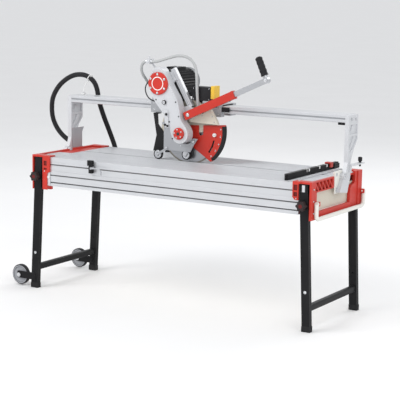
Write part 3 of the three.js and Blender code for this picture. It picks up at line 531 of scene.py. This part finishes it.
def roller_details(side, x, z):
    plate = [(9.5, 0), (21.5, 0.1), (21.5, 1.4), (9.5, 2.2)]
    side_plate = Shapes().turned((x, 298.6, z), BACK, plate, 28)
    side_plate.build(f"roller_side_{side}", "bright", f"roller_{side}", "steel")
    axle_bolt = Shapes().bolt(x, 293.4, z, FRONT, 4.2, 0.3)
    axle_bolt.build(f"roller_bolt_{side}", "bright", f"roller_arm_{side}", "steel")


# ------------------------------------------------------------------ head
CASING_SCREWS = (
    (-236, 1220), (-246, 1148), (-146, 1190), (-212, 1086),
    (-86, 1080), (-124, 972), (-66, 1004), (-104, 882),
)
CASING_BEAD = (
    (-200, 1250), (-177, 1241), (-163, 1216), (-139, 1169), (-84, 1080), (-71, 1030), (-61, 988), (-30, 945),
    (-18, 912), (-28, 884), (-62, 868), (-90, 882), (-106, 917), (-119, 962), (-158, 1020), (-217, 1091),
    (-238, 1142), (-247, 1189), (-236, 1227), (-219, 1246), (-200, 1250),
)


def ring_of_bolts(shapes, centre, reach, count, y, radius, height):
    for i in range(count):
        angle = math.radians(30 + 360 * i / count)
        x = centre[0] + reach * math.cos(angle)
        z = centre[1] + reach * math.sin(angle)
        shapes.bolt(x, y, z, FRONT, radius, height)


def cover_details():
    bolts = Shapes()
    ring_of_bolts(bolts, PULLEY, 50, 6, 206, 4.6, 3.2)
    ring_of_bolts(bolts, HUB, 23, 5, 206, 2.9, 2.2)
    bolts.build("cover_bolts", "bright", "arm", "steel")
    screws = Shapes()
    for x, z in CASING_SCREWS:
        screws.screw(x, 220, z, FRONT, 4.2)
    screws.build("casing_screws", "shadow", "arm", "steel")
    bead = curve_through([(x, 220.4, z) for x, z in CASING_BEAD], 9.0)
    Shapes().sweep(bead, lambda k: 1.8, 8).build("casing_bead", "light_grey", "arm", "light_grey", smooth=60)
    Shapes().turned((HUB[0], 208, HUB[1]), FRONT, [(9, -0.2), (9, 1.2), (7.5, 1.8)]).build(
        "hub_centre", "shadow", "arm", "black_plastic")
    Shapes().prism([(-171, 1236), (-158, 1244), (-67, 1087), (-80, 1079)], 286.1, 290).build(
        "casing_strip", "rubber", "arm", "rubber", bevel=0.6)


def strut_details():
    """Painted shade lines standing in for grooves along the front of the strut, and the bracket beside the
    casing.
    """
    groove_shade_lines = Shapes()
    for offset in (-5.5, 4.5):
        x0, z0 = -147 + 0.863 * offset, 1246 + 0.505 * offset
        x1, z1 = -38 + 0.863 * offset, 1060 + 0.505 * offset
        groove_shade_lines.prism([(x0, z0), (x0 + 1.6, z0 + 0.9), (x1 + 1.6, z1 + 0.9), (x1, z1)], 284.7, 285.4)
    groove_shade_lines.build("strut_groove_shade", "cast_grey", "arm", "aluminium")
    bracket = Shapes().prism([(-157, 1034), (-133, 1034), (-126, 940), (-148, 940)], 213, 219.9)
    bracket.build("depth_bracket", "light_grey", "arm", "light_grey", bevel=0.8)
    knobs = Shapes()
    for x, z, radius in ((-139, 1012, 7), (-146, 955, 6), (-131, 950, 6)):
        knobs.turned((x, 213, z), FRONT, [(radius, -0.2), (radius, 6), (radius * 0.8, 8)], 16)
    knobs.build("depth_knobs", "black_plastic", "arm", "black_plastic")


def motor_details():
    screws = Shapes()
    for x in (-228, -170):
        for y in (368, 432):
            screws.screw(x, y, 1256, UP, 3.6)
    for i in range(4):
        angle = math.radians(45 + 90 * i)
        screws.bolt(PULLEY[0] + 61 * math.cos(angle), 309, PULLEY[1] + 61 * math.sin(angle), FRONT, 4.5, 3)
    screws.build("motor_screws", "bright", "arm", "steel")
    seam = Shapes().box(-236.6, -161.4, 359.4, 440.6, 1247, 1248.2)
    seam.build("terminal_seam", "rubber", "arm", "rubber")


def handle_point(distance, down=0.0):
    """The point in x and z at a distance up the handle tube, and down from its middle."""
    along, rise = HANDLE_ALONG
    return (HANDLE_FOOT[0] + along * distance + rise * down, HANDLE_FOOT[1] + rise * distance - along * down)


def handle_details():
    """Bolts, screws and end collar of the feed handle."""
    x, z = handle_point(24)
    Shapes().bolt(x, 241.5, z, FRONT, 7, 5).build("handle_bolt", "bright", "arm", "steel")
    screws = Shapes()
    for distance in (110, 200, 290):
        x, z = handle_point(distance, 21)
        screws.screw(x, 255, z, (HANDLE_ALONG[1], 0, -HANDLE_ALONG[0]), 4.5, 3)
    screws.build("handle_screws", "shadow", "arm", "steel")
    corners = ((318, -22.2), (331, -22.2), (331, 22.2), (318, 22.2))
    collar = [handle_point(distance, down) for distance, down in corners]
    cap = Shapes().prism(collar, 240.2, 269.8)
    cap.build("handle_collar", "red_paint", "arm", "black_plastic", bevel=1.2)
    x, z = handle_point(536)
    Shapes().bolt(x, 241, z, FRONT, 8, 5).build("grip_bolt", "bright", "handle", "steel")


def switch_details():
    screws = Shapes()
    for x in (-24, 72):
        for z in (1096, 1154):
            screws.screw(x, 300, z, FRONT, 2.8, 1.6)
    screws.build("switch_screws", "bright", "arm", "steel")
    relief = [(11, -0.2), (11, 5), (8.5, 7), (6.5, 20)]
    Shapes().turned((6, 330, 1088.5), (0, 0, -1), relief).build("switch_gland", "rubber", "arm", "rubber")
    rib = Shapes().box(-64, -31, 305.5, 308.1, 1118, 1126)
    rib.build("switch_bracket_rib", "black_paint", "arm", "black_paint")


def guard_details():
    """Rubber band and rivets of the swinging sector, and screws of the fixed guard."""
    outer = arc(*SECTOR, 204, 9, -50, 26)
    inner = arc(*SECTOR, 191.0, -50, 9, 26)
    band = Shapes().prism([*outer, *inner], 314.2, 341.6)
    band.build("guard_band", "rubber", "sector", "rubber", smooth=40)
    rivets = Shapes()
    for angle in (-47, -34, -21, -8, 5):
        turn = math.radians(angle)
        x = SECTOR[0] + 182 * math.cos(turn)
        z = SECTOR[1] + 182 * math.sin(turn)
        rivets.screw(x, 315, z, FRONT, 4.2)
    rivets.screw(105, 306, 908, FRONT, 3.6, 1.5)
    rivets.build("guard_rivets", "bright", "sector", "steel")
    screws = Shapes()
    for x, z in ((-30, 1022), (40, 1010), (104, 1010), (116, 980)):
        screws.screw(x, 286.3, z, FRONT, 3.6)
    screws.build("fixed_guard_screws", "bright", "arm", "steel")


# ------------------------------------------------------------------ strain reliefs and clamps
def fittings():
    """Tapered strain reliefs where cords leave a housing, and the clamps on the water hose."""
    relief = [(19, -0.2), (19, 6), (17.8, 8), (15.4, 27), (14.8, 28)]
    Shapes().turned((-900, 530, 732), LEFT, relief, 24).build("loop_gland", "rubber", "base", "rubber")
    Shapes().turned((-300, 511.5, 1036), BACK, relief, 24).build("span_gland", "rubber", "carriage", "rubber")
    mains = [(12, -0.2), (12, 5), (9, 7), (7, 15), (5, 16.2)]
    Shapes().turned((-600, 601.5, 631), BACK, mains).build("mains_gland", "rubber", "base", "rubber")
    clamp = [(9.6, 0), (9.6, 7), (8.6, 7.6)]
    Shapes().turned((-312, 356, 1083), UP, clamp).build("hose_clamp_low", "bright", "carriage", "steel")
    Shapes().turned((10, 295, 1034), UP, clamp).build("hose_clamp_guard", "bright", "arm", "steel")
    taps = Shapes().turned((-299, 263, 1286), LEFT, clamp).turned((-275, 263, 1286), RIGHT, clamp)
    taps.screw(-287, 250, 1282, FRONT, 5)
    taps.build("tap_clamps", "bright", "arm", "steel")


table_details()
casting_details()
leg_details()
tank_details()
scale_details()
bridge_details()
carriage_details()
for roller_side, roller_spot in ROLLERS.items():
    roller_details(roller_side, *roller_spot)
cover_details()
strut_details()
motor_details()
handle_details()
switch_details()
guard_details()
fittings()

# ------------------------------------------------------------------ cords
LOOP_ROUTE = [
    (-903, 530, 732), (-945, 530, 736), (-992, 530, 753), (-1037, 529, 778),
    (-1080, 527, 808), (-1115, 525, 847), (-1139, 522, 897), (-1146, 519, 952),
    (-1134, 514, 1022), (-1085, 506, 1092), (-1018, 497, 1141), (-956, 489, 1166),
    (-903, 483, 1172), (-872, 481, 1169), (-847, 480, 1160.5),
]
SPAN_ROUTE = [
    (-835, 480, 1153.5), (-818, 480.5, 1141), (-803, 483, 1120), (-794, 488, 1090),
    (-792, 497, 1050), (-790, 513, 1000), (-786, 545, 930), (-776, 582, 850),
    (-758, 604, 775), (-728, 605, 700), (-680, 605, 630), (-610, 605, 580),
    (-530, 605, 572), (-465, 605, 610), (-410, 605, 690), (-365, 605, 790),
    (-330, 605, 880), (-309, 603, 956), (-303, 591, 998), (-301, 563, 1026),
    (-300, 533, 1035.5), (-300, 514, 1036),
]
HOSE_ROUTE = [
    (-312, 356, 1080.5), (-312, 356, 1098), (-319, 344, 1130), (-333, 308, 1180),
    (-340, 276, 1222), (-339, 266, 1250), (-328, 263, 1273.5), (-314, 263, 1283),
    (-298, 263, 1286), (-276, 263, 1286), (-239, 266, 1288), (-167, 272, 1310),
    (-103, 278, 1324), (-45, 283, 1314), (-10, 285, 1280), (2, 286, 1230),
    (6, 287, 1150), (9, 291, 1085), (10, 295, 1056), (10, 295, 1032.5),
]


def cord(name, node, route, radius, look, ribs=0.0):
    """A conduit or hose that replaces its plain CAD node."""
    step = 2.2 if ribs else 6.0
    line = curve_through(route, step)

    def radius_at(k):
        return radius - (ribs if ribs and k % 3 == 0 else 0.0)

    obj = Shapes().sweep(line, radius_at).build(name, look, None, "black_plastic", smooth=60)
    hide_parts(node)
    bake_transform(obj)


cord("conduit_loop_ribbed", "conduit_loop", LOOP_ROUTE, 14.5, "black_plastic",
     ribs=1.3)
cord("conduit_span_ribbed", "conduit_span", SPAN_ROUTE, 14.5, "black_plastic",
     ribs=1.3)
cord("water_hose_smooth", "water_hose", HOSE_ROUTE, 8.0, "hose")


MOTOR_CABLE = [
    (-250, 276, 1190), (-270, 268, 1187), (-292, 258, 1170), (-302, 252, 1145), (-298, 252, 1115),
    (-282, 254, 1090), (-262, 262, 1076), (-240, 276, 1070),
]
SWITCH_CABLE = [
    (6, 330, 1069), (4, 328, 1054), (-6, 322, 1043), (-20, 316, 1040), (-34, 311, 1046), (-42, 308.5, 1056),
]


def fixed_cable(name, route, radius):
    """A short wire with both ends on the head, so it keeps its shape."""
    line = curve_through(route, 4.0)
    wire = Shapes().sweep(line, lambda k: radius, 10)
    obj = wire.build(name, "black_plastic", "arm", "black_plastic", smooth=60)


fixed_cable("motor_cable", MOTOR_CABLE, 3.2)
fixed_cable("switch_cable", SWITCH_CABLE, 2.8)


# ------------------------------------------------------------------ studio
def studio():
    """Pale floor that runs past the picture's edges, even sky light and three soft lamps."""
    mesh = bpy.data.meshes.new("floor")
    reach = 150.0
    corners = [(-reach, -reach, 0), (reach, -reach, 0), (reach, reach, 0), (-reach, reach, 0)]
    mesh.from_pydata(corners, [], [(0, 1, 2, 3)])
    floor = bpy.data.objects.new("floor", mesh)
    bpy.context.scene.collection.objects.link(floor)
    material, tree, shader = new_material("floor", 0.0, 0.75)
    tone = mix_colour(tree, noise(tree, 1.5, 2.0), (0.86, 0.86, 0.86), (0.90, 0.90, 0.90))
    tree.links.new(tone, shader.inputs["Base Color"])
    mesh.materials.append(material)

    world = bpy.data.worlds.new("studio")
    bpy.context.scene.world = world
    world.use_nodes = True
    world.node_tree.nodes["Background"].inputs[0].default_value = (0.97, 0.98, 1.0, 1.0)
    world.node_tree.nodes["Background"].inputs[1].default_value = 0.84
    lights = {
        "key": ((-2.6, -4.2, 4.6), 150.0, 3.0),
        "fill": ((4.6, -3.2, 3.2), 80.0, 3.6),
        "rim": ((0.8, 4.6, 4.2), 80.0, 3.0),
    }
    for name, (spot, power, size) in lights.items():
        data = bpy.data.lights.new(name, "AREA")
        data.energy = power
        data.size = size
        light = bpy.data.objects.new(name, data)
        light.location = spot
        light.rotation_euler = (Vector((0, 0, 0.7)) - Vector(spot)).to_track_quat("-Z", "Y").to_euler()
        bpy.context.scene.collection.objects.link(light)


def camera():
    """View from the front right, a little above the table."""
    data = bpy.data.cameras.new("camera")
    data.lens = 121.5
    data.sensor_width = 36.0
    data.clip_end = 400.0
    target = place(41.78, 276, 554.45)
    azimuth, elevation, distance = math.radians(31.227), math.radians(9.426), 7.2908
    level = math.cos(elevation)
    back = Vector((math.sin(azimuth) * level, -math.cos(azimuth) * level, math.sin(elevation)))
    turn = back.to_track_quat("Z", "Y") @ Quaternion((0, 0, 1), 0.0156)
    obj = bpy.data.objects.new("camera", data)
    obj.matrix_world = Matrix.Translation(target + back * distance) @ turn.to_matrix().to_4x4()
    bpy.context.scene.collection.objects.link(obj)
    bpy.context.scene.camera = obj


studio()
camera()
bpy.context.scene.view_settings.view_transform = "Standard"
